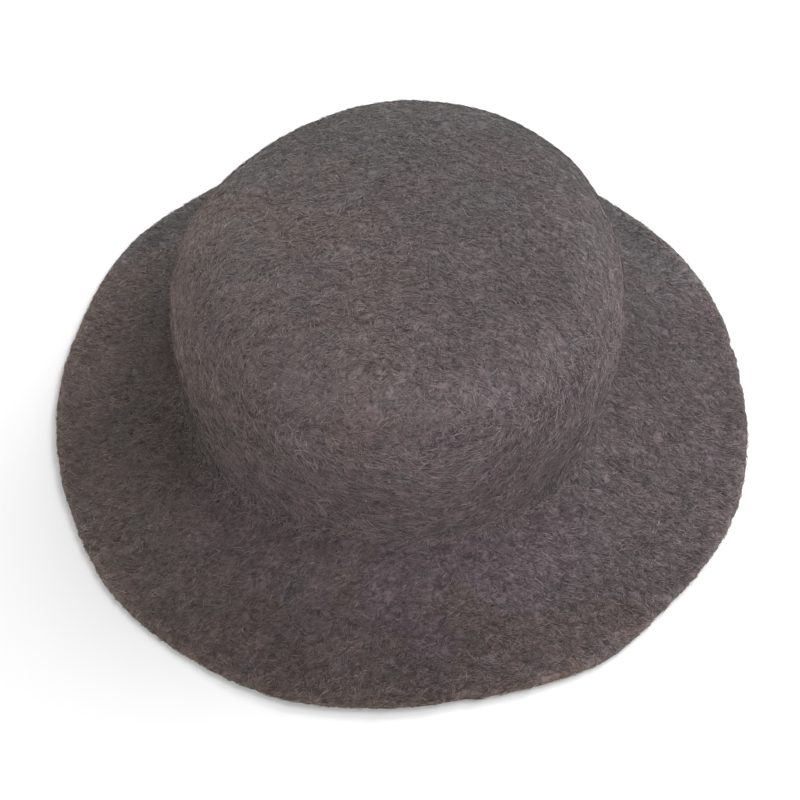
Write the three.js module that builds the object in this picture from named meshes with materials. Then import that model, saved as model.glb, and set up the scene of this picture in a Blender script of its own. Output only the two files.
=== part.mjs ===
// Wide-brim hat: one piece of long-haired felt with a soft round crown and a
// broad, nearly flat brim, cut by hand. Millimetres, +Z up. The origin lies on
// the floor below the middle of the hat, and -Y is the front of the hat.
//
// The felt is one skin. Its inside face is worked out first, from the middle of
// the crown's top out to the edge of the brim, and the outside face lies one
// felt thickness off it.

import * as THREE from 'three';

// ---------------------------------------------------------------- sizes (mm)

const FELT_THICKNESS = 3;

// Inside of the crown. In each direction the wall is a straight line, and the
// shoulder turns it over into the top.
const CROWN = {
  height: 98.2, // floor to the rim of the top
  topRise: 1.8, // how far the top's middle stands above its rim
  shoulderReach: 34.6, // how far the shoulder comes in
  shoulderDrop: 42.8, // how far below the rim of the top it starts
  footRadius: 11, // turn from the wall out into the brim
  footCentre: new THREE.Vector2(-6.0, 8.8),
  topCentre: new THREE.Vector2(2.2, 10.1),
};

// Distance of the inside wall from the crown's axis, at the floor and where its
// line reaches the height of the top. Angles turn from +X towards +Y.
const WALL = [
  { angle: 0, foot: 94.4, top: 94.5 },
  { angle: 45, foot: 91.7, top: 98.3 },
  { angle: 90, foot: 92.0, top: 97.0 },
  { angle: 135, foot: 90.5, top: 94.4 },
  { angle: 180, foot: 92.3, top: 100.8 },
  { angle: 225, foot: 94.4, top: 100.8 },
  { angle: 270, foot: 92.0, top: 96.5 },
  { angle: 315, foot: 97.0, top: 97.8 },
];

// Edge of the brim: its distance from the origin, and how far it lifts.
const BRIM = [
  { angle: 0, radius: 160.4, lift: 1.0 },
  { angle: 15, radius: 161.7, lift: 2.6 },
  { angle: 30, radius: 161.8, lift: 3.2 },
  { angle: 45, radius: 159.6, lift: 2.2 },
  { angle: 60, radius: 159.5, lift: 0.8 },
  { angle: 75, radius: 160.0, lift: 0.4 },
  { angle: 90, radius: 160.5, lift: 1.0 },
  { angle: 105, radius: 160.5, lift: 2.0 },
  { angle: 120, radius: 159.8, lift: 2.4 },
  { angle: 135, radius: 160.0, lift: 1.6 },
  { angle: 150, radius: 162.8, lift: 0.6 },
  { angle: 165, radius: 159.7, lift: 0.8 },
  { angle: 180, radius: 160.2, lift: 1.8 },
  { angle: 195, radius: 160.6, lift: 2.4 },
  { angle: 210, radius: 162.0, lift: 1.4 },
  { angle: 225, radius: 164.2, lift: 0.4 },
  { angle: 240, radius: 163.6, lift: 0.8 },
  { angle: 255, radius: 163.4, lift: 1.8 },
  { angle: 270, radius: 159.8, lift: 2.0 },
  { angle: 285, radius: 158.8, lift: 1.2 },
  { angle: 300, radius: 161.8, lift: 0.4 },
  { angle: 315, radius: 160.1, lift: 0.8 },
  { angle: 330, radius: 162.4, lift: 1.6 },
  { angle: 345, radius: 162.2, lift: 1.4 },
];
const EDGE_ROUNDING = 0.8; // the cut edge stands out this much at mid-thickness

// The brim rests on the floor between two shares of the way from the crown's
// foot (0) to the edge (1). Inside them it springs up to the foot.
const REST = { from: 0.42, to: 0.74, footSpring: 1.6 };

// Nicks and small dips in the edge of the brim.
const NICKS = [
  { angle: 9.3, depth: 1.7, halfWidth: 2.2 },
  { angle: 1.2, depth: 0.7, halfWidth: 2.0 },
  { angle: 334.5, depth: 0.6, halfWidth: 2.5 },
  { angle: 279, depth: 1.0, halfWidth: 8.0 },
];

// Low ridge across the right of the brim.
const RIDGE = {
  start: new THREE.Vector2(110, 35),
  end: new THREE.Vector2(137, 66),
  height: 1.4,
  halfWidth: 6,
};

// Shallow dents in the crown's top.
const DENTS = [
  { x: 26, y: -52, radius: 14, depth: 1.6 },
  { x: -20, y: 4, radius: 34, depth: 1.0 },
];

const DIRECTIONS_AROUND = 80; // even directions of the mesh, before the nicks'

// ------------------------------------------------------------------- helpers

const { degToRad, radToDeg, lerp, smoothstep, clamp, euclideanModulo } = THREE.MathUtils;

function unitVector(angle) {
  return new THREE.Vector2(Math.cos(angle), Math.sin(angle));
}

/** Signed turn between two directions in degrees, the short way round. */
function turnBetween(from, to) {
  return euclideanModulo(to - from + 180, 360) - 180;
}

/** Round hill of height 1, whose side falls to 1/e at the given spread. */
function hill(distance, spread) {
  return Math.exp(-((distance / spread) ** 2));
}

/** Smooth closed curve through one column of an evenly spaced table. */
function aroundTable(rows, column, angle) {
  const place = euclideanModulo(angle / (2 * Math.PI), 1) * rows.length;
  const first = Math.floor(place);
  const [before, start, end, after] = [-1, 0, 1, 2].map(
    (step) => rows[(first + step + rows.length) % rows.length][column],
  );
  const t = place - first;
  const startSlope = (end - before) / 2;
  const endSlope = (after - start) / 2;
  const cubic = 2 * (start - end) + startSlope + endSlope;
  const square = 3 * (end - start) - 2 * startSlope - endSlope;
  return ((cubic * t + square) * t + startSlope) * t + start;
}

// --------------------------------------------------- inside face of the felt

/** Point at a height, a given distance out from the crown's leaning axis. */
function crownPoint(angle, radius, height) {
  const plan = CROWN.footCentre.clone()
    .lerp(CROWN.topCentre, height / CROWN.height)
    .addScaledVector(unitVector(angle), radius);
  return new THREE.Vector3(plan.x, plan.y, height);
}

function wallRadius(angle, height) {
  const foot = aroundTable(WALL, 'foot', angle);
  const top = aroundTable(WALL, 'top', angle);
  return lerp(foot, top, height / CROWN.height);
}

/** Top of the crown: t runs from its middle (0) to its rim (1). */
function topPoint(angle, t) {
  const rim = wallRadius(angle, CROWN.height) - CROWN.shoulderReach;
  const point = crownPoint(angle, rim * t, CROWN.height);
  point.z += CROWN.topRise * (1 - t * t);
  return point;
}

/** Shoulder: t runs from the rim of the top (0) to the wall (1). */
function shoulderPoint(angle, t) {
  const turn = (1 - t) * Math.PI / 2;
  const height = CROWN.height - CROWN.shoulderDrop * (1 - Math.sin(turn));
  const inset = CROWN.shoulderReach * (1 - Math.cos(turn));
  return crownPoint(angle, wallRadius(angle, height) - inset, height);
}

/** Wall: t runs from the shoulder (0) down to the turn at the foot (1). */
function wallPoint(angle, t) {
  const shoulderStart = CROWN.height - CROWN.shoulderDrop;
  const height = lerp(shoulderStart, REST.footSpring + CROWN.footRadius, t);
  return crownPoint(angle, wallRadius(angle, height), height);
}

/** Turn at the foot: t runs from the wall (0) to the brim (1). */
function footPoint(angle, t) {
  const turn = t * Math.PI / 2;
  const height = REST.footSpring + CROWN.footRadius * (1 - Math.sin(turn));
  const outwards = CROWN.footRadius * (1 - Math.cos(turn));
  return crownPoint(angle, wallRadius(angle, height) + outwards, height);
}

/** Edge of the brim in plan, with its nicks. */
function edgePoint(angle) {
  let radius = aroundTable(BRIM, 'radius', angle);
  for (const nick of NICKS) {
    const aside = radius * degToRad(turnBetween(nick.angle, radToDeg(angle)));
    radius -= nick.depth * hill(aside, nick.halfWidth);
  }
  return unitVector(angle).multiplyScalar(radius - EDGE_ROUNDING);
}

/** Brim: t runs from the turn at the foot (0) to the edge (1). */
function brimPoint(angle, t) {
  const foot = footPoint(angle, 1);
  const plan = new THREE.Vector2(foot.x, foot.y).lerp(edgePoint(angle), t);
  const spring = REST.footSpring * (1 - smoothstep(t, 0, REST.from));
  const pastRest = Math.max(0, (t - REST.to) / (1 - REST.to));
  const lift = aroundTable(BRIM, 'lift', angle) * pastRest ** 2;
  return new THREE.Vector3(plan.x, plan.y, spring + lift);
}

/** What the dents and the ridge add to the height of both faces. */
function relief(point) {
  const plan = new THREE.Vector2(point.x, point.y);
  if (point.z > CROWN.height / 2) {
    return DENTS.reduce((height, dent) => {
      const distance = plan.distanceTo(new THREE.Vector2(dent.x, dent.y));
      return height - dent.depth * hill(distance, dent.radius);
    }, 0);
  }
  const along = RIDGE.end.clone().sub(RIDGE.start);
  const share = plan.clone().sub(RIDGE.start).dot(along) / along.lengthSq();
  const nearest = RIDGE.start.clone().addScaledVector(along, clamp(share, 0, 1));
  return RIDGE.height * hill(plan.distanceTo(nearest), RIDGE.halfWidth);
}

// ------------------------------------------------------------------ the skin

// Rings of the mesh, from the middle of the top outwards. Each zone leaves its
// first ring to the zone before it.
const ZONES = [
  { point: topPoint, from: 0, to: 1, rings: 4 },
  { point: shoulderPoint, from: 0, to: 1, rings: 7 },
  { point: wallPoint, from: 0, to: 1, rings: 3 },
  { point: footPoint, from: 0, to: 1, rings: 3 },
  { point: brimPoint, from: 0, to: REST.from, rings: 2 },
  { point: brimPoint, from: REST.from, to: REST.to, rings: 2 },
  { point: brimPoint, from: REST.to, to: 1, rings: 3 },
];

/** Directions of the mesh: even ones, and five across each nick. */
function directions() {
  const step = 360 / DIRECTIONS_AROUND;
  const acrossNicks = NICKS.flatMap(({ angle, halfWidth }) => {
    const reach = radToDeg(halfWidth / aroundTable(BRIM, 'radius', degToRad(angle)));
    return [-1.6, -0.7, 0, 0.7, 1.6].map((share) => angle + share * reach);
  });
  const even = Array.from({ length: DIRECTIONS_AROUND }, (_, index) => (index + 0.5) * step)
    .filter((angle) => acrossNicks.every((other) => Math.abs(turnBetween(angle, other)) > step / 3));
  return [...even, ...acrossNicks]
    .map((angle) => euclideanModulo(angle, 360))
    .sort((first, second) => first - second)
    .map(degToRad);
}

/** Direction square to the skin on its outside. */
function outwards(zone, angle, t) {
  const nudge = 1e-3;
  const along = zone.point(angle, Math.min(t + nudge, zone.to))
    .sub(zone.point(angle, Math.max(t - nudge, zone.from)));
  const around = zone.point(angle + nudge, t).sub(zone.point(angle - nudge, t));
  return along.cross(around).normalize();
}

/** One ring of both faces, as two lists of points around the hat. */
function ringPair(zone, t, angles) {
  const inside = angles.map((angle) => zone.point(angle, t));
  const outside = inside.map(
    (point, index) => point.clone().addScaledVector(outwards(zone, angles[index], t), FELT_THICKNESS),
  );
  const heights = inside.map(relief);
  for (const face of [inside, outside]) {
    face.forEach((point, index) => { point.z += heights[index]; });
  }
  return { inside, outside };
}

/** Ring half-way up the cut edge, which stands out a little. */
function cutEdge(last, angles) {
  return last.inside.map((point, index) => {
    const out = unitVector(angles[index]).multiplyScalar(EDGE_ROUNDING);
    return point.clone().lerp(last.outside[index], 0.5).add(new THREE.Vector3(out.x, out.y, 0));
  });
}

/** Closed body through rings of equal length, with a pole at each end. */
function closedSkin(firstPole, rings, lastPole) {
  const count = rings[0].length;
  const points = [firstPole, ...rings.flat(), lastPole];
  const at = (ring, index) => 1 + ring * count + (index % count);
  const triangles = [];
  for (let index = 0; index < count; index += 1) {
    triangles.push(0, at(0, index), at(0, index + 1));
    for (let ring = 0; ring < rings.length - 1; ring += 1) {
      const corners = [at(ring, index), at(ring + 1, index), at(ring + 1, index + 1), at(ring, index + 1)];
      triangles.push(corners[0], corners[1], corners[2], corners[0], corners[2], corners[3]);
    }
    triangles.push(at(rings.length - 1, index), points.length - 1, at(rings.length - 1, index + 1));
  }
  const geometry = new THREE.BufferGeometry().setFromPoints(points);
  geometry.setIndex(triangles);
  geometry.computeVertexNormals();
  return geometry;
}

function feltBody() {
  const angles = directions();
  const pairs = ZONES.flatMap((zone) => Array.from({ length: zone.rings }, (_, index) => {
    const t = lerp(zone.from, zone.to, (index + 1) / zone.rings);
    return ringPair(zone, t, angles);
  }));
  const insidePole = topPoint(0, 0);
  insidePole.z += relief(insidePole);
  const outsidePole = insidePole.clone().setZ(insidePole.z + FELT_THICKNESS);
  const rings = [
    ...pairs.map((pair) => pair.outside),
    cutEdge(pairs.at(-1), angles),
    ...pairs.map((pair) => pair.inside).reverse(),
  ];
  return closedSkin(outsidePole, rings, insidePole);
}

// ------------------------------------------------------------------- the hat

const felt = new THREE.MeshStandardMaterial({ color: '#5d5455', roughness: 0.95, metalness: 0 });

const hatBody = new THREE.Mesh(feltBody(), felt);
hatBody.name = 'hat_body';

const hat = new THREE.Group();
hat.add(hatBody);

export default hat;
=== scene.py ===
import math

import bmesh
import bpy
import numpy as np
from bpy.props import FloatProperty, FloatVectorProperty, IntProperty, PointerProperty
from bpy.types import Operator, Panel, PropertyGroup
from mathutils import Matrix, Vector, noise
from mathutils.bvhtree import BVHTree


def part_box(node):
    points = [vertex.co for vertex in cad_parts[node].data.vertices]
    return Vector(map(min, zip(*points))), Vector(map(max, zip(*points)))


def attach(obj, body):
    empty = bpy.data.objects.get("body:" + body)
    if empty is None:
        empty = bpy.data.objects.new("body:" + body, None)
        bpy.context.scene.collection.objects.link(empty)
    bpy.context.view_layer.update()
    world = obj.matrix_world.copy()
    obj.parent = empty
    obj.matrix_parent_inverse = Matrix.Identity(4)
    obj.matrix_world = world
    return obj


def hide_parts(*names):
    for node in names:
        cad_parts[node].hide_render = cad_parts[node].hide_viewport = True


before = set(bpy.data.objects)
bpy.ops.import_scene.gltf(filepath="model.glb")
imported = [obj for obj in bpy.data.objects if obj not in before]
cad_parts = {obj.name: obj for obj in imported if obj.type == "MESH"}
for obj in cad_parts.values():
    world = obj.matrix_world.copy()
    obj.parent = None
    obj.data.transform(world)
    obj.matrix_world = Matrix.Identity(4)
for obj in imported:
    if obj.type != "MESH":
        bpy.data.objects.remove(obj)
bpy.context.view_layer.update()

bl_info = {
    "name": "Wide-Brim Felt Hat",
    "version": (1, 0, 0),
    "blender": (4, 5, 0),
    "location": "View3D > Sidebar > Felt Hat",
    "description": "Makes the felt and the nap of a wide-brim hat round its CAD frame, and its studio",
    "category": "Object",
}

# Where the parts of the hat lie, in metres, in the frame of the CAD model.
HAT_LOW, HAT_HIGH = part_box("hat_body")
CROWN_MIDDLE = (-0.0019, 0.0095)
RIM_FULL = 0.0006         # of the brim's cut edge, where the felt is palest
RIM_WIDTH = 0.0035        # of all the paler felt along it
RIM_STEP = 3.0            # degrees between the points that are taken along that edge

# Slopes, as height for each metre away from the crown's middle.
OUTSIDE_RISE = 0.8        # the felt's outer face looks this way
COMB_FALL = 0.6           # the comb's zero line runs this way down

# Heights between which one way of combing fades into the next.
BRIM_ENDS_AT, WALL_STARTS_AT = 0.012, 0.020
WALL_ENDS_AT, TOP_STARTS_AT = 0.066, 0.091

# Where one patch of nap ends and the next starts.
BRIM_TO_WALL = 0.0155     # height
WALL_TO_TOP = 0.079       # height
BRIM_FRONT_TO_BACK = -0.012

# How the loose triangles of the CAD mesh are joined and paired to quads.
SAME_POINT = 1e-6
MOST_BEND_IN_QUAD = math.radians(60)
MOST_SKEW_IN_QUAD = math.radians(80)

# The way the fibres of the batt lie, as a line, so that 10 and 190 degrees are the same.
# Bearings go counter-clockwise from +X round the crown, seen from above.
# On the brim "line" is the fibres' own bearing, on the wall it is how far they
# turn from straight down, counter-clockwise for somebody who looks at the wall.
BRIM_LIE = [
    # bearing, line
    (0, -22), (20, -12), (50, -8), (90, 0), (130, 4), (160, -14), (180, -12), (195, 0),
    (210, 15), (225, 27), (240, 34), (260, 35), (270, 30), (280, 18), (290, 0),
    (300, -10), (320, -12), (340, -20),
]
WALL_LIE = [
    # bearing, line
    (0, 150), (45, 163), (90, 180), (135, 197), (180, 208), (205, 212), (225, 214),
    (240, 218), (250, 223), (260, 232), (270, 256), (280, 274), (290, 298), (300, 318),
    (315, 324), (330, 323),
]
# On the top the fibres lie across the hat in an arch, turned the more the farther
# they are from its middle line.
TOP_LIE = 4.0             # degrees, on the middle line
TOP_ARCH = -480.0         # degrees more for each metre along +X
TOP_ARCH_ENDS = (-50.0, 46.0)

# Each patch of nap: how many fibres, how far they stray, how much of their length
# shows, and how unlike their shades are.
NAP_PATCHES = [
    # name, side, zone, fibres, stray (degrees), length share, contrast
    ("nap_crown_top", "outside", "top", 30000, 34.0, 0.95, 0.8),
    ("nap_crown_wall", "outside", "wall", 32500, 22.0, 1.2, 1.75),
    ("nap_brim_front", "outside", "brim_front", 32500, 30.0, 1.0, 1.3),
    ("nap_brim_back", "outside", "brim_back", 32500, 32.0, 1.0, 1.05),
    ("nap_inside", "inside", "all", 30000, 34.0, 1.0, 1.0),
]

# The soft lights of the studio.
LIGHTS = [
    # name, bearing and height (degrees), power (watts)
    ("main_light", 45, 40, 13.4),
    ("front_light", 270, 40, 7.2),
    ("top_light", 0, 62, 8.1),
]

# A fibre is a spindle: a root, three corners round its middle and a tip.
SPINDLE_FACES = [(0, 1, 2), (0, 2, 3), (0, 3, 1), (4, 2, 1), (4, 3, 2), (4, 1, 3)]
SPINDLE_CORNERS = 5
SPINDLE_ROUND = (math.radians(30), math.radians(150), math.radians(270))
SPINDLE_FLATNESS = 0.7    # height of its middle, as a share of its width
SPINDLE_BAKE_PLACES = [(0.12, 0.5), (0.5, 0.12), (0.62, 0.5), (0.5, 0.88), (0.88, 0.5)]

# How unlike one lock of fibres is to the next, and the fibres within it.
LOCK_DRIFT = math.radians(20)     # slow turns of all the locks in one place
LOCK_DRIFT_WIDTH = 0.016
ALONG_LOCK = 0.25                 # spread of the fibres in a lock, in fibre lengths
TURN_IN_LOCK = math.radians(9)
CURL_IN_LOCK = 0.4
TONE_IN_LOCK = 0.05
LENGTH_SPREAD = 0.3
LENGTH_LIMITS = (0.4, 2.0)
LIFT_SPREAD = (1.6, 0.6)          # most tips lie low and a few stand high
LIFT_LIMITS = (0.12, 2.6)
WIDTH_LIMITS = (0.7, 1.3)
TONE_MIDDLE = 0.48
TONE_OWN = 0.8                    # of a lock by itself
TONE_SPREAD = (2.6, 2.8)          # a few locks are far darker or paler than most
TONE_SMALL, TONE_SMALL_WIDTH = 0.12, 0.0014
TONE_LARGE, TONE_LARGE_WIDTH = 0.11, 0.0025

ROOT_DEPTH = 0.00012      # of a fibre's root in the felt
LEAST_RISE = 0.00006      # of its middle over the felt
LOWEST = -0.0001          # that a fibre may reach under the brim

# What the wool's sheen is like, on the ground and on the fibres.
SHEEN_WEIGHT = 0.42
SHEEN_ROUGHNESS = 0.26
SHEEN_TINT = (0.96, 0.89, 0.77, 1.0)
CLOUDS_PER_METRE = 60.0   # of slightly paler and darker wool

FLOOR_HALF_WIDTH = 3.0
FLOOR_HEIGHT = -0.0004    # just under the fibres below the brim
AIM_OFFSET = Vector((-0.0009, -0.0082, 0.0011))


# ---------------------------------------------------------------- settings


class FeltSettings(PropertyGroup):
    """Sizes and colours of the felt itself."""

    swell: FloatProperty(
        name="Swell", description="How far the felt rises and sinks by hand blocking",
        default=0.0006, min=0.0, max=0.003, precision=5, unit="LENGTH")
    swell_width: FloatProperty(
        name="Swell width", description="Distance between one swell of the felt and the next",
        default=0.034, min=0.005, max=0.2, precision=4, unit="LENGTH")
    pebble: FloatProperty(
        name="Pebble", description="Height of the felt's fine pebbled grain",
        default=0.00025, min=0.0, max=0.001, precision=5, unit="LENGTH")
    colour: FloatVectorProperty(
        name="Ground colour", description="Colour of the matted ground under the nap",
        default=(0.088, 0.088, 0.088), size=3, min=0.0, max=1.0, subtype="COLOR")


class NapSettings(PropertyGroup):
    """Sizes and colours of the fibres that lie on the felt."""

    seed: IntProperty(
        name="Seed", description="Another number lays other fibres",
        default=7, min=0)
    length: FloatProperty(
        name="Fibre length", description="Middle length of the fibres that show",
        default=0.0056, min=0.001, max=0.03, precision=4, unit="LENGTH")
    lock: IntProperty(
        name="Fibres in a lock", description="How many fibres lie together",
        default=4, min=1, max=50)
    lock_width: FloatProperty(
        name="Lock width", description="Width of the fibres that lie together",
        default=0.0010, min=0.0, max=0.01, precision=5, unit="LENGTH")
    thickness: FloatProperty(
        name="Fibre thickness", description="Thickness of a fibre at its middle",
        default=0.00037, min=0.00005, max=0.001, precision=5, unit="LENGTH")
    lift: FloatProperty(
        name="Lift", description="How far a fibre's tip stands off the felt",
        default=0.0004, min=0.0, max=0.004, precision=5, unit="LENGTH")
    curl: FloatProperty(
        name="Curl", description="How much a fibre bends along its length",
        default=math.radians(34), min=0.0, max=math.radians(90), subtype="ANGLE", unit="ROTATION")
    dark: FloatVectorProperty(
        name="Dark fibres", description="Colour of the darkest fibres",
        default=(0.048, 0.048, 0.048), size=3, min=0.0, max=1.0, subtype="COLOR")
    light: FloatVectorProperty(
        name="Light fibres", description="Colour of the palest fibres",
        default=(0.235, 0.232, 0.228), size=3, min=0.0, max=1.0, subtype="COLOR")


class StudioSettings(PropertyGroup):
    """The pale floor, the lights and the camera."""

    floor_colour: FloatVectorProperty(
        name="Floor", description="Colour of the floor",
        default=(0.92, 0.92, 0.92), size=3, min=0.0, max=1.0, subtype="COLOR")
    sky: FloatProperty(
        name="Sky", description="Strength of the even light from all round",
        default=0.43, min=0.0, max=5.0)
    brightness: FloatProperty(
        name="Brightness", description="Makes all the soft lights brighter or darker together",
        default=1.0, min=0.0, max=20.0)
    light_size: FloatProperty(
        name="Light size", description="Width of each soft light",
        default=0.8, min=0.05, max=5.0, unit="LENGTH")
    light_distance: FloatProperty(
        name="Light distance", description="From each soft light to the hat",
        default=1.5, min=0.3, max=10.0, unit="LENGTH")
    distance: FloatProperty(
        name="Camera distance", description="From the camera to what it looks at",
        default=0.611, min=0.2, max=5.0, unit="LENGTH")
    height_angle: FloatProperty(
        name="Camera height", description="How steeply the camera looks down",
        default=math.radians(55), min=0.0, max=math.radians(89), subtype="ANGLE", unit="ROTATION")
    lean: FloatProperty(
        name="Camera lean", description="How far the camera is turned about its own axis",
        default=math.radians(0.85), subtype="ANGLE", unit="ROTATION")
    lens: FloatProperty(
        name="Lens", description="Focal length in millimetres on a sensor 36 mm wide",
        default=58.9, min=10.0, max=300.0)


class HatSettings(PropertyGroup):
    """Everything that can be set on the hat."""

    felt: PointerProperty(
        name="Felt", description="Sizes and colours of the felt itself", type=FeltSettings)
    nap: PointerProperty(
        name="Nap", description="Sizes and colours of the fibres on the felt", type=NapSettings)
    studio: PointerProperty(
        name="Studio", description="The floor, the lights and the camera", type=StudioSettings)


# ---------------------------------------------------------------- materials


class Nodes:
    """Adds nodes to a material one after another, and links them."""

    def __init__(self, name):
        self.material = bpy.data.materials.new(name)
        self.material.use_nodes = True
        self.tree = self.material.node_tree
        self.shader = self.tree.nodes["Principled BSDF"]

    def add(self, kind, settings=None, **inputs):
        node = self.tree.nodes.new(kind)
        for key, value in (settings or {}).items():
            setattr(node, key, value)
        for key, value in inputs.items():
            self.put(node.inputs[key.replace("_", " ")], value)
        return node

    def put(self, socket, value):
        if isinstance(value, bpy.types.NodeSocket):
            self.tree.links.new(value, socket)
        else:
            socket.default_value = value

    def place(self):
        return self.add("ShaderNodeTexCoord").outputs["Object"]

    def noise(self, vector, per_metre, detail=3.0, roughness=0.5, distortion=0.0):
        node = self.add(
            "ShaderNodeTexNoise", Vector=vector, Scale=per_metre, Detail=detail,
            Roughness=roughness, Distortion=distortion)
        return node.outputs["Fac"]

    def ranged(self, value, low, high, to_low=0.0, to_high=1.0):
        """value from low to high, smoothed, becomes to_low to to_high."""
        node = self.add("ShaderNodeMapRange", {"interpolation_type": "SMOOTHSTEP"})
        for number, given in enumerate((value, low, high, to_low, to_high)):
            self.put(node.inputs[number], given)
        return node.outputs["Result"]

    def clouded(self, shade, place, low, high):
        """The shade made slightly darker and paler, from low to high, in clouds."""
        clouds = self.noise(place, CLOUDS_PER_METRE, detail=3.0, roughness=0.55)
        return self.tinted(shade, self.ramp(clouds, [(0.3, (low,) * 3), (0.7, (high,) * 3)]))

    def tinted(self, colour, tint):
        return self.mix(1.0, colour, tint, "MULTIPLY")

    def sheen(self):
        self.shader.inputs["Sheen Weight"].default_value = SHEEN_WEIGHT
        self.shader.inputs["Sheen Roughness"].default_value = SHEEN_ROUGHNESS
        self.shader.inputs["Sheen Tint"].default_value = SHEEN_TINT

    def near(self, vector, centre, core, whole, most=1.0):
        """Full strength within core metres of the centre, fading to none at whole metres."""
        node = self.add("ShaderNodeVectorMath", {"operation": "DISTANCE"})
        self.put(node.inputs[0], vector)
        self.put(node.inputs[1], centre)
        return self.ranged(node.outputs["Value"], core, whole, most, 0.0)

    def mix(self, factor, first, second, blend="MIX"):
        node = self.add("ShaderNodeMix", {"data_type": "RGBA", "blend_type": blend})
        self.put(node.inputs[0], factor)
        self.put(node.inputs[6], first)
        self.put(node.inputs[7], second)
        return node.outputs[2]

    def joined(self, first, second, operation="ADD"):
        node = self.add("ShaderNodeMath", {"operation": operation})
        self.put(node.inputs[0], first)
        self.put(node.inputs[1], second)
        return node.outputs[0]

    def ramp(self, factor, stops):
        node = self.add("ShaderNodeValToRGB")
        self.put(node.inputs["Fac"], factor)
        band = node.color_ramp
        for number, (place, colour) in enumerate(stops):
            stop = band.elements[number] if number < 2 else band.elements.new(place)
            stop.position = place
            stop.color = (*colour, 1.0)
        return node.outputs["Color"]


# Painted light and shade, in broad soft patches: paler where the felt stands for a highlight or sheen,
# darker where it stands for shadow, such as in the fold and beside the crown.
PAINTED_LIGHT_AND_SHADE = [
    # centre, radius of the full change, radius of the whole patch, shade
    ((-0.098, -0.005, 0.065), 0.018, 0.050, 1.30),    # the crown's left side
    ((-0.085, 0.025, 0.085), 0.015, 0.045, 1.17),     # the shoulder above it
    ((0.010, 0.090, 0.095), 0.020, 0.045, 1.12),      # the shoulder at the back
    ((0.045, -0.055, 0.095), 0.010, 0.030, 1.12),     # the shoulder, front right
    ((-0.010, -0.075, 0.090), 0.015, 0.050, 1.15),    # the shoulder at the front
    ((0.085, 0.020, 0.075), 0.020, 0.060, 1.20),      # the crown's right side
    ((-0.040, -0.075, 0.040), 0.025, 0.060, 0.90),    # the front of the wall, left
    ((0.070, -0.075, 0.060), 0.015, 0.050, 0.87),     # and right
    ((-0.085, -0.035, 0.015), 0.010, 0.035, 0.75),    # the fold, left
    ((-0.065, -0.065, 0.005), 0.020, 0.050, 1.15),    # the brim before the fold, left
    ((-0.010, -0.105, 0.003), 0.015, 0.055, 1.28),    # in the middle
    ((0.045, -0.085, 0.003), 0.015, 0.035, 1.15),     # and right
    ((0.120, -0.035, 0.003), 0.030, 0.080, 1.13),     # the brim, right
    ((0.155, 0.030, 0.003), 0.012, 0.040, 1.14),      # the edge of the brim, right
    ((0.130, 0.090, 0.003), 0.025, 0.070, 1.35),      # the brim, back right
    ((-0.115, 0.045, 0.003), 0.010, 0.035, 0.86),     # the brim, back left
    ((-0.130, 0.000, 0.003), 0.010, 0.030, 1.15),     # the brim, left
    ((-0.080, -0.130, 0.003), 0.020, 0.060, 0.85),    # the brim, front left
    ((-0.015, -0.160, 0.003), 0.030, 0.070, 0.73),    # the front edge of the brim
    ((0.030, -0.135, 0.003), 0.020, 0.050, 0.88),     # and right of its middle
]
EDGE_HIGHLIGHT = 1.30          # painted highlight: how much paler the felt is along the crown's front edge

# Each tint is a factor on the grey of the fibres. All but BEIGE stand for dye that took unevenly; BEIGE
# makes the felt paler along the brim's cut edge.
OLIVE = (1.29, 1.0, 0.95, 1.0)
HEATHER = (1.235, 1.0, 1.09, 1.0)
SLATE = (1.05, 1.0, 1.06, 1.0)
MAUVE = (1.36, 1.0, 1.18, 1.0)
UMBER = (1.35, 1.0, 0.97, 1.0)
PLUM = (1.055, 1.0, 1.03, 1.0)
BEIGE = (1.32, 1.30, 1.18, 1.0)

# Where each tint starts and where it is full, along one axis, in metres, and then
# how strong it is at the two.
HEATHER_ACROSS = (-0.11, 0.07, 0.0, 1.0)
SLATE_ALONG = (0.02, 0.12, 0.0, 0.95)
SLATE_ALONG_TOP = (-0.02, 0.06, 0.0, 0.45)
UMBER_ALONG = (-0.10, -0.14, 0.0, 0.8)
UP_THE_WALL = (0.012, 0.030)
ONTO_THE_TOP = (0.075, 0.098)
MAUVE_SPOTS = [
    # centre, radius of the full tint, radius of the whole spot, strength
    ((0.008, -0.088, 0.015), 0.03, 0.085, 0.85),
    ((-0.058, -0.068, 0.012), 0.012, 0.050, 0.5),
]
EDGE_STARTS = (0.081, 0.091)      # of the painted highlight on the crown's edge: heights
EDGE_ENDS = (0.094, 0.101)
EDGE_FRONT = (-0.035, -0.080)     # along Y, none of it and all of it

# How far the limits of the tints wander.
DRIFT = 0.035


def grey(shade):
    return (shade, shade, shade, 1.0)


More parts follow.
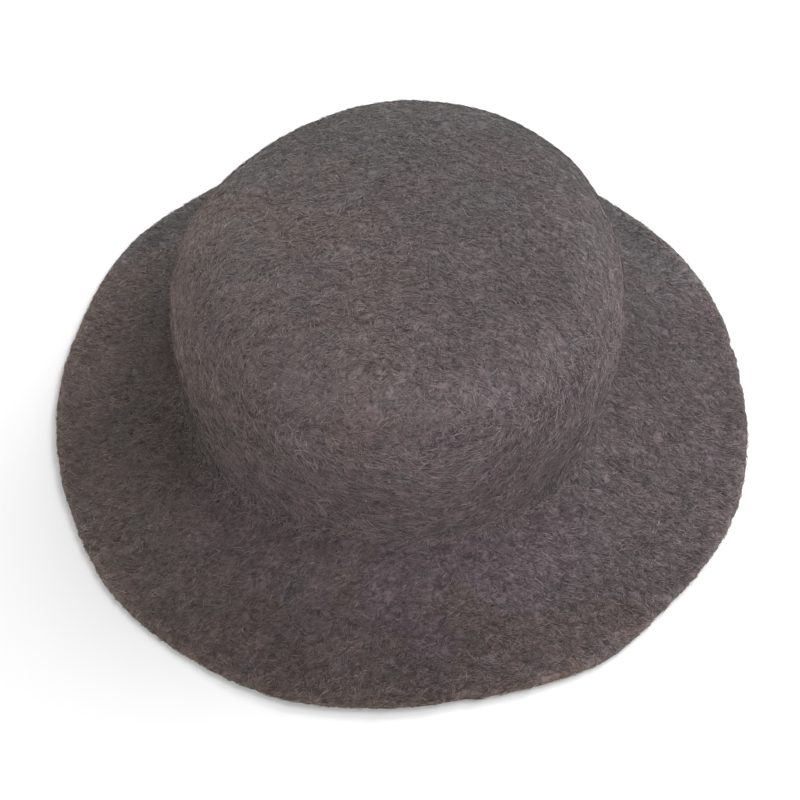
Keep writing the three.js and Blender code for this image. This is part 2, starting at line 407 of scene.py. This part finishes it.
def dye_and_painted_light(nodes, place):
    """The colour over the hat: the wool's dyed tints, olive on one side, heather on the other, slate at
    the back, mauve in the fold at the front, umber along the front edge; over them painted light and
    shade, a painted highlight along the crown's front edge and broad patches of painted highlight, sheen
    and shadow."""
    axes = nodes.add("ShaderNodeSeparateXYZ", Vector=place)
    height = axes.outputs["Z"]
    cloud = nodes.noise(place, 28.0, detail=2.0)
    drift = nodes.ranged(cloud, 0.3, 0.7, -DRIFT, DRIFT)
    across = nodes.joined(axes.outputs["X"], drift)
    along = nodes.joined(axes.outputs["Y"], drift)
    on_top = nodes.ranged(height, *ONTO_THE_TOP)
    on_wall = nodes.joined(nodes.ranged(height, *UP_THE_WALL), on_top, "SUBTRACT")
    colour = nodes.mix(nodes.ranged(across, *HEATHER_ACROSS), OLIVE, HEATHER)
    colour = nodes.mix(nodes.ranged(along, *SLATE_ALONG), colour, SLATE)
    slate_on_top = nodes.joined(on_top, nodes.ranged(along, *SLATE_ALONG_TOP), "MULTIPLY")
    colour = nodes.mix(slate_on_top, colour, SLATE)
    for centre, core, whole, strength in MAUVE_SPOTS:
        colour = nodes.mix(nodes.near(place, centre, core, whole, strength), colour, MAUVE)
    colour = nodes.mix(nodes.ranged(along, *UMBER_ALONG), colour, UMBER)
    blotch = nodes.noise(place, 75.0, detail=3.0, roughness=0.6)
    colour = nodes.mix(nodes.ranged(blotch, 0.53, 0.68, 0.0, 0.4), colour, SLATE)
    colour = nodes.mix(on_wall, colour, nodes.tinted(colour, PLUM))
    rim = nodes.add("ShaderNodeAttribute", {"attribute_name": "rim"}).outputs["Fac"]
    colour = nodes.mix(rim, colour, nodes.tinted(colour, BEIGE))
    # Painted highlight along the crown's front edge.
    edge = nodes.joined(
        nodes.ranged(height, *EDGE_STARTS), nodes.ranged(height, *EDGE_ENDS), "SUBTRACT")
    edge = nodes.joined(edge, nodes.ranged(axes.outputs["Y"], *EDGE_FRONT), "MULTIPLY")
    colour = nodes.mix(edge, colour, nodes.tinted(colour, grey(EDGE_HIGHLIGHT)))
    # Broad patches of painted light and shade.
    for centre, core, whole, shade in PAINTED_LIGHT_AND_SHADE:
        painted_shading = nodes.tinted(colour, grey(shade))
        colour = nodes.mix(nodes.near(place, centre, core, whole), colour, painted_shading)
    return colour


def ground_material(settings):
    """Matted wool under the nap: specks, clouds and a pebbled grain."""
    nodes = Nodes("felt_ground")
    place = nodes.place()
    specks = nodes.noise(place, 420.0, detail=3.0, roughness=0.55, distortion=0.5)
    middle = tuple(settings.colour)
    shade = nodes.ramp(specks, [
        (0.34, tuple(0.45 * c for c in middle)),
        (0.66, tuple(1.4 * c for c in middle)),
        (0.50, middle),
    ])
    shade = nodes.clouded(shade, place, 0.9, 1.1)
    nodes.put(nodes.shader.inputs["Base Color"], nodes.tinted(shade, dye_and_painted_light(nodes, place)))
    grain = nodes.noise(place, 520.0, detail=4.0, roughness=0.6, distortion=0.6)
    bump = nodes.add("ShaderNodeBump", Height=grain, Distance=settings.pebble * 2, Strength=0.9)
    nodes.put(nodes.shader.inputs["Normal"], bump.outputs["Normal"])
    nodes.put(nodes.shader.inputs["Roughness"], nodes.ranged(specks, 0.3, 0.7, 0.98, 0.86))
    nodes.shader.inputs["Specular IOR Level"].default_value = 0.25
    nodes.sheen()
    return nodes.material


def nap_material(settings):
    """Single fibres, each of its own shade, under the same dyed tints and painted light and shade as the
    ground.
    """
    nodes = Nodes("wool_nap")
    place = nodes.place()
    tone = nodes.add("ShaderNodeAttribute", {"attribute_name": "tone"}).outputs["Fac"]
    dark, light = np.array(settings.dark), np.array(settings.light)
    shade = nodes.ramp(tone, [
        (0.0, tuple(dark)),
        (1.0, tuple(light)),
        (0.55, tuple(dark + 0.42 * (light - dark))),
        (0.85, tuple(dark + 0.72 * (light - dark))),
    ])
    shade = nodes.clouded(shade, place, 0.92, 1.08)
    nodes.put(nodes.shader.inputs["Base Color"], nodes.tinted(shade, dye_and_painted_light(nodes, place)))
    nodes.shader.inputs["Roughness"].default_value = 0.82
    nodes.shader.inputs["Specular IOR Level"].default_value = 0.3
    nodes.sheen()
    return nodes.material


# ---------------------------------------------------------------- the felt body


def merged_copy(node, name):
    """A new object with the CAD node's mesh: its loose triangles joined, and paired to quads."""
    shape = bmesh.new()
    shape.from_mesh(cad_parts[node].data)
    bmesh.ops.remove_doubles(shape, verts=shape.verts, dist=SAME_POINT)
    bmesh.ops.join_triangles(
        shape, faces=shape.faces, angle_face_threshold=MOST_BEND_IN_QUAD,
        angle_shape_threshold=MOST_SKEW_IN_QUAD)
    mesh = bpy.data.meshes.new(name)
    shape.to_mesh(mesh)
    shape.free()
    made = bpy.data.objects.new(name, mesh)
    bpy.context.scene.collection.objects.link(made)
    return made


def subdivided(made, levels):
    """Rounds the object with a Subdivision Surface and keeps the result as its mesh."""
    modifier = made.modifiers.new("soft_form", "SUBSURF")
    modifier.levels = levels
    modifier.render_levels = levels
    bpy.context.view_layer.update()
    graph = bpy.context.evaluated_depsgraph_get()
    mesh = bpy.data.meshes.new_from_object(made.evaluated_get(graph))
    made.modifiers.clear()
    plain = made.data
    made.data = mesh
    bpy.data.meshes.remove(plain)
    mesh.name = made.name
    return made


def swell(mesh, height, width):
    """Hand-blocked felt is never quite even. The same swell moves both faces of the felt."""
    shape = bmesh.new()
    shape.from_mesh(mesh)
    moves = []
    for corner in shape.verts:
        broad = noise.noise(corner.co / width)
        fine = noise.noise(corner.co / (0.35 * width) + Vector((3.0, 1.0, 4.0)))
        moves.append(height * (broad + 0.45 * fine))
    for corner, move in zip(shape.verts, moves):
        outwards = Vector(facing(np.array([corner.co]), np.array([corner.normal]))[0])
        corner.co += outwards * move
        corner.co.z = max(corner.co.z, 0.0)
    for face in shape.faces:
        face.smooth = True
    shape.to_mesh(mesh)
    shape.free()


def out_of_crown(points):
    """Unit vectors that lead level away from the crown's middle."""
    away = points - np.array([*CROWN_MIDDLE, 0.0])
    away[:, 2] = 0.0
    return unit(away)


def unit(vectors):
    return vectors / np.maximum(np.linalg.norm(vectors, axis=1, keepdims=True), 1e-12)


def is_outside(points, normals):
    """True on the face of the felt that is seen when the hat is worn."""
    leaning = (out_of_crown(points) + np.array([0.0, 0.0, OUTSIDE_RISE])) * normals
    return leaning.sum(1) > 0.0


def facing(points, normals):
    """The normals, turned round where the point lies on the felt's inner face."""
    return np.where(is_outside(points, normals)[:, None], normals, -normals)


def bearing_and_reach(points):
    """Bearing round the crown's middle, in degrees, and distance from it."""
    x, y = points[:, 0] - CROWN_MIDDLE[0], points[:, 1] - CROWN_MIDDLE[1]
    return np.degrees(np.arctan2(y, x)), np.hypot(x, y)


def near_rim(points, everywhere):
    """How near the points are to the cut edge of the brim, from 0 to 1. The edge is
    read off from the mesh's own points, as the farthest one in each step of bearing."""
    bearing, reach = bearing_and_reach(everywhere)
    steps = ((bearing % 360) / RIM_STEP).astype(int)
    edge = np.zeros(int(360 / RIM_STEP))
    np.maximum.at(edge, steps, reach)
    own_bearing, own_reach = bearing_and_reach(points)
    middles = (np.arange(len(edge)) + 0.5) * RIM_STEP
    here = np.interp(own_bearing % 360, middles, edge, period=360)
    return 1 - smooth_step(here - own_reach, RIM_FULL, RIM_WIDTH)


class Felt:
    """The felt's final surface as arrays, and a tree that finds the nearest point on it."""

    def __init__(self, mesh):
        mesh.calc_loop_triangles()
        self.points = numbers(mesh.vertices, "co", 3)
        self.normals = numbers(mesh.vertices, "normal", 3)
        self.triangles = numbers(mesh.loop_triangles, "vertices", 3, np.int32)
        corners = self.points[self.triangles]
        self.middles = corners.mean(1)
        cross = np.cross(corners[:, 1] - corners[:, 0], corners[:, 2] - corners[:, 0])
        self.areas = np.linalg.norm(cross, axis=1) / 2
        self.outside = is_outside(self.middles, unit(self.normals[self.triangles].mean(1)))
        self.tree = BVHTree.FromPolygons(self.points.tolist(), self.triangles.tolist())

    def spread(self, count, weights, rng):
        """Random points on the triangles, and the felt's normals there."""
        share = np.cumsum(self.areas * weights)
        picks = np.searchsorted(share, rng.random(count) * share[-1])
        a, b = rng.random((2, count))
        over = a + b > 1
        a[over], b[over] = 1 - a[over], 1 - b[over]
        parts = np.stack([1 - a - b, a, b], 1)[:, :, None]
        corners = self.triangles[picks]
        points = (self.points[corners] * parts).sum(1)
        return points, unit((self.normals[corners] * parts).sum(1))

    def settle(self, points):
        """The nearest points on the felt, and its normals there."""
        found, normals = [], []
        for point in points.tolist():
            place, normal, _, _ = self.tree.find_nearest(point)
            found.append(place)
            normals.append(normal)
        return np.array(found), np.array(normals)


def numbers(items, name, width, kind=np.float32):
    found = np.empty(len(items) * width, kind)
    items.foreach_get(name, found)
    return found.reshape(-1, width).astype(np.float64 if kind == np.float32 else kind)


# ---------------------------------------------------------------- the nap


def smooth_step(values, low, high):
    share = np.clip((values - low) / (high - low), 0.0, 1.0)
    return share * share * (3 - 2 * share)


def lie_from(table, bearings):
    """Reads a table of (bearing, line) at any bearing, in degrees. The lines are mixed
    at twice their angle, because a line has no front and no back."""
    at = np.array([row[0] for row in table] + [table[0][0] + 360.0])
    twice = np.radians(2 * np.array([row[1] for row in table] + [table[0][1]], float))
    cos = np.interp(bearings % 360, at, np.cos(twice))
    sin = np.interp(bearings % 360, at, np.sin(twice))
    return np.degrees(np.arctan2(sin, cos)) / 2


def comb(points, normals):
    """The direction that the fibres take at each point, and the one across it, both in
    the face of the felt."""
    away = out_of_crown(points)
    bearing = np.degrees(np.arctan2(away[:, 1], away[:, 0]))
    down = away - np.array([0.0, 0.0, COMB_FALL])
    down = unit(down - normals * (down * normals).sum(1, keepdims=True))
    side = np.cross(normals, down)
    # Lines on the felt's inner face are seen from the other side.
    turned = np.where(is_outside(points, normals), 1.0, -1.0)
    brim = turned * (lie_from(BRIM_LIE, bearing) - bearing)
    wall = turned * lie_from(WALL_LIE, bearing)
    arch = TOP_LIE + TOP_ARCH * points[:, 0]
    top = turned * (np.clip(arch, *TOP_ARCH_ENDS) - bearing)
    height = points[:, 2]
    on_wall = smooth_step(height, BRIM_ENDS_AT, WALL_STARTS_AT)
    on_top = smooth_step(height, WALL_ENDS_AT, TOP_STARTS_AT)
    lines = [(brim, 1 - on_wall), (wall, on_wall * (1 - on_top)), (top, on_top)]
    cos = sum(np.cos(np.radians(2 * line)) * share for line, share in lines)
    sin = sum(np.sin(np.radians(2 * line)) * share for line, share in lines)
    angle = np.arctan2(sin, cos) / 2
    return turn(down, side, angle), turn(side, -down, angle)


def turn(along, across, angles):
    return along * np.cos(angles)[:, None] + across * np.sin(angles)[:, None]


def eddies(points, width, offset):
    """Slow changes over the felt, from about -1 to 1, at each point."""
    return np.array([noise.noise(Vector(p) / width + Vector(offset)) for p in points.tolist()]) * 2


def in_zone(felt, side, zone):
    """The weight of each triangle of the felt in a patch of nap."""
    here = felt.outside if side == "outside" else ~felt.outside
    height, along = felt.middles[:, 2], felt.middles[:, 1]
    if zone == "top":
        here = here & (height > WALL_TO_TOP)
    elif zone == "wall":
        here = here & (height <= WALL_TO_TOP) & (height > BRIM_TO_WALL)
    elif zone == "brim_front":
        here = here & (height <= BRIM_TO_WALL) & (along < BRIM_FRONT_TO_BACK)
    elif zone == "brim_back":
        here = here & (height <= BRIM_TO_WALL) & (along >= BRIM_FRONT_TO_BACK)
    return here.astype(float)


def fibre_shapes(felt, count, weights, stray, share, contrast, settings, rng):
    """The corners of every spindle, count x 5 x 3, and how pale each is. Fibres lie in
    locks. Each starts in the felt and follows its face, its middle and tip a little off it."""
    locks = count // settings.lock
    count = locks * settings.lock
    starts, normals = felt.spread(locks, weights, rng)
    along, across = comb(starts, normals)
    angles = np.radians(stray) * rng.standard_normal(locks)
    angles += LOCK_DRIFT * eddies(starts, LOCK_DRIFT_WIDTH, (5.0, 2.0, 9.0))
    heading = turn(along, across, angles) * rng.choice([-1.0, 1.0], locks)[:, None]
    curl = settings.curl * rng.standard_normal(locks)
    tone = tone_of(starts, contrast, rng)

    member = np.repeat(np.arange(locks), settings.lock)
    spread_along = ALONG_LOCK * settings.length * rng.standard_normal(count)[:, None]
    spread_across = settings.lock_width / 2 * rng.standard_normal(count)[:, None]
    beside = np.cross(normals, heading)[member]
    roots, normals = felt.settle(starts[member] + heading[member] * spread_along + beside * spread_across)
    heading = level(heading[member], normals)
    heading = turn(heading, np.cross(normals, heading), TURN_IN_LOCK * rng.standard_normal(count))
    curl = curl[member] + CURL_IN_LOCK * settings.curl * rng.standard_normal(count)
    tone = np.clip(tone[member] + TONE_IN_LOCK * contrast * rng.standard_normal(count), 0.0, 1.0)
    length = settings.length * share * np.clip(
        np.exp(LENGTH_SPREAD * rng.standard_normal(count)), *LENGTH_LIMITS)
    half = (length / 2)[:, None]
    middles, middle_normals = felt.settle(roots + heading * half)
    heading = level(middles - roots, middle_normals)
    heading = turn(heading, np.cross(middle_normals, heading), curl)
    tips, tip_normals = felt.settle(middles + heading * half)
    lift = settings.lift * np.clip(rng.gamma(*LIFT_SPREAD, count), *LIFT_LIMITS)[:, None]
    roots -= normals * ROOT_DEPTH
    middles += middle_normals * (LEAST_RISE + 0.5 * lift)
    tips += tip_normals * lift
    for ends in (middles, tips):
        ends[:, 2] = np.maximum(ends[:, 2], LOWEST)
    chord = unit(tips - roots)
    side = unit(np.cross(middle_normals, chord))
    rise = np.cross(chord, side)
    radius = settings.thickness / 2 * rng.uniform(*WIDTH_LIMITS, count)[:, None]
    ring = [
        middles + radius * (math.cos(a) * side + SPINDLE_FLATNESS * math.sin(a) * rise)
        for a in SPINDLE_ROUND]
    return np.stack([roots, *ring, tips], 1), tone


def level(headings, normals):
    """Headings laid down into the face of the felt."""
    return unit(headings - normals * (headings * normals).sum(1, keepdims=True))


def tone_of(starts, contrast, rng):
    """How pale each lock is, from 0 to 1. Pale locks gather in loose patches."""
    small = TONE_SMALL * eddies(starts, TONE_SMALL_WIDTH, (2.0, 6.0, 3.0))
    large = TONE_LARGE * eddies(starts, TONE_LARGE_WIDTH, (4.0, 1.0, 7.0))
    own = TONE_OWN * (rng.beta(*TONE_SPREAD, len(starts)) - TONE_MIDDLE)
    return np.clip(TONE_MIDDLE + contrast * (own + small + large), 0.0, 1.0)


def bake_places(count):
    """A place of its own on the bake's map for every fibre, so that each keeps its shade."""
    rows = math.ceil(math.sqrt(count))
    number = np.arange(count)
    cell = np.stack([number % rows, number // rows], 1)[:, None, :]
    return (cell + np.array(SPINDLE_BAKE_PLACES)[None]) / rows


def paint(mesh, name, values):
    """Stores a number for each corner point of the mesh, for the materials to read."""
    layer = mesh.attributes.new(name, "FLOAT", "POINT")
    layer.data.foreach_set("value", values.astype(np.float32))


def joined_fibres(name, corners, tones, rims):
    """One mesh from the corners of all the spindles of a patch."""
    count = len(corners)
    first = np.arange(count)[:, None, None] * SPINDLE_CORNERS
    faces = (np.array(SPINDLE_FACES)[None] + first).reshape(-1, 3)
    mesh = bpy.data.meshes.new(name)
    mesh.vertices.add(count * SPINDLE_CORNERS)
    mesh.vertices.foreach_set("co", corners.reshape(-1).astype(np.float32))
    mesh.loops.add(faces.size)
    mesh.loops.foreach_set("vertex_index", faces.reshape(-1).astype(np.int32))
    mesh.polygons.add(len(faces))
    mesh.polygons.foreach_set("loop_start", np.arange(0, faces.size, 3, dtype=np.int32))
    mesh.polygons.foreach_set("use_smooth", np.ones(len(faces), bool))
    mesh.update(calc_edges=True)
    paint(mesh, "tone", np.repeat(tones, SPINDLE_CORNERS))
    paint(mesh, "rim", np.repeat(rims, SPINDLE_CORNERS))
    places = bake_places(count).reshape(-1, 2)[faces.reshape(-1)]
    layer = mesh.uv_layers.new(name="OFBake")
    layer.uv.foreach_set("vector", places.reshape(-1).astype(np.float32))
    mesh.validate()
    made = bpy.data.objects.new(name, mesh)
    bpy.context.scene.collection.objects.link(made)
    return made


# ---------------------------------------------------------------- operators


class HAT_OT_felt_body(Operator):
    """Make the felt body over its CAD solid"""

    bl_idname = "hat.felt_body"
    bl_label = "Felt Body"

    def execute(self, context):
        settings = context.scene.hat.felt
        body = subdivided(merged_copy("hat_body", "felt_body"), 1)
        swell(body.data, settings.swell, settings.swell_width)
        points = numbers(body.data.vertices, "co", 3)
        paint(body.data, "rim", near_rim(points, points))
        body.data.materials.clear()
        body.data.materials.append(ground_material(settings))
        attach(body, "root")
        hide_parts("hat_body")
        return {"FINISHED"}


class HAT_OT_nap(Operator):
    """Lay the nap's fibres over the felt, one piece for each patch"""

    bl_idname = "hat.nap"
    bl_label = "Nap"

    def execute(self, context):
        settings = context.scene.hat.nap
        body = bpy.data.objects.get("felt_body")
        if body is None:
            raise RuntimeError("Make the felt body before its nap")
        felt = Felt(body.data)
        material = nap_material(settings)
        for number, (name, side, zone, count, stray, share, contrast) in enumerate(NAP_PATCHES):
            rng = np.random.default_rng(settings.seed + number)
            weights = in_zone(felt, side, zone)
            corners, tones = fibre_shapes(felt, count, weights, stray, share, contrast, settings, rng)
            rims = near_rim(corners[:, 0], felt.points)
            patch = joined_fibres(name, corners, tones, rims)
            patch.data.materials.append(material)
            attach(patch, "root")
        return {"FINISHED"}


class HAT_OT_studio(Operator):
    """Set the pale floor, the soft lights and the camera"""

    bl_idname = "hat.studio"
    bl_label = "Studio"

    def execute(self, context):
        settings = context.scene.hat.studio
        make_floor(settings)
        make_lights(context, settings)
        make_camera(context, settings)
        return {"FINISHED"}


def make_floor(settings):
    shape = bmesh.new()
    bmesh.ops.create_grid(shape, x_segments=1, y_segments=1, size=FLOOR_HALF_WIDTH)
    bmesh.ops.translate(shape, verts=shape.verts, vec=(0.0, 0.0, FLOOR_HEIGHT))
    mesh = bpy.data.meshes.new("studio_floor")
    shape.to_mesh(mesh)
    shape.free()
    floor = bpy.data.objects.new("studio_floor", mesh)
    bpy.context.scene.collection.objects.link(floor)
    nodes = Nodes("pale_floor")
    nodes.shader.inputs["Base Color"].default_value = (*settings.floor_colour, 1.0)
    nodes.shader.inputs["Roughness"].default_value = 0.9
    nodes.shader.inputs["Specular IOR Level"].default_value = 0.1
    mesh.materials.append(nodes.material)


def make_lights(context, settings):
    world = bpy.data.worlds.new("studio_sky")
    world.use_nodes = True
    sky = world.node_tree.nodes["Background"]
    sky.inputs["Color"].default_value = (1.0, 1.0, 1.0, 1.0)
    sky.inputs["Strength"].default_value = settings.sky
    context.scene.world = world
    for name, bearing, height, power in LIGHTS:
        a, e = math.radians(bearing), math.radians(height)
        away = Vector((math.cos(a) * math.cos(e), math.sin(a) * math.cos(e), math.sin(e)))
        light = bpy.data.lights.new(name, "AREA")
        light.energy = power * settings.brightness
        light.shape = "DISK"
        light.size = settings.light_size
        lamp = bpy.data.objects.new(name, light)
        lamp.location = Vector((0.0, 0.0, HAT_HIGH.z / 2)) + away * settings.light_distance
        lamp.rotation_euler = (-away).to_track_quat("-Z", "Y").to_euler()
        context.scene.collection.objects.link(lamp)


def make_camera(context, settings):
    """Looks down on the front of the hat, at a point on the floor under its crown."""
    aim = Vector(((HAT_LOW.x + HAT_HIGH.x) / 2, (HAT_LOW.y + HAT_HIGH.y) / 2, 0.0)) + AIM_OFFSET
    back = Vector((0.0, -math.cos(settings.height_angle), math.sin(settings.height_angle)))
    data = bpy.data.cameras.new("hat_camera")
    data.sensor_width = 36.0
    data.lens = settings.lens
    data.clip_start = 0.05
    data.clip_end = 20.0
    data.dof.use_dof = False
    camera = bpy.data.objects.new("hat_camera", data)
    looking = (-back).to_track_quat("-Z", "Y").to_matrix().to_4x4()
    camera.matrix_world = (
        Matrix.Translation(aim + back * settings.distance)
        @ looking @ Matrix.Rotation(settings.lean, 4, "Z"))
    context.scene.collection.objects.link(camera)
    context.scene.camera = camera
    context.scene.view_settings.view_transform = "Standard"


# ---------------------------------------------------------------- panel and registering


class HAT_PT_panel(Panel):
    """Lists the makers of the hat and what can be set on them"""

    bl_idname = "HAT_PT_panel"
    bl_label = "Felt Hat"
    bl_space_type = "VIEW_3D"
    bl_region_type = "UI"
    bl_category = "Felt Hat"

    def draw(self, context):
        hat = context.scene.hat
        groups = ((hat.felt, "hat.felt_body"), (hat.nap, "hat.nap"), (hat.studio, "hat.studio"))
        for settings, maker in groups:
            box = self.layout.box()
            for name in settings.bl_rna.properties.keys():
                if name not in ("rna_type", "name"):
                    box.prop(settings, name)
            box.operator(maker)


CLASSES = (
    FeltSettings,
    NapSettings,
    StudioSettings,
    HatSettings,
    HAT_OT_felt_body,
    HAT_OT_nap,
    HAT_OT_studio,
    HAT_PT_panel,
)


def register():
    for made in CLASSES:
        bpy.utils.register_class(made)
    bpy.types.Scene.hat = PointerProperty(
        name="Felt hat", description="Everything that can be set on the hat", type=HatSettings)


def unregister():
    del bpy.types.Scene.hat
    for made in reversed(CLASSES):
        bpy.utils.unregister_class(made)


def main():
    register()
    bpy.ops.hat.felt_body()
    bpy.ops.hat.nap()
    bpy.ops.hat.studio()


if __name__ == "__main__":
    main()
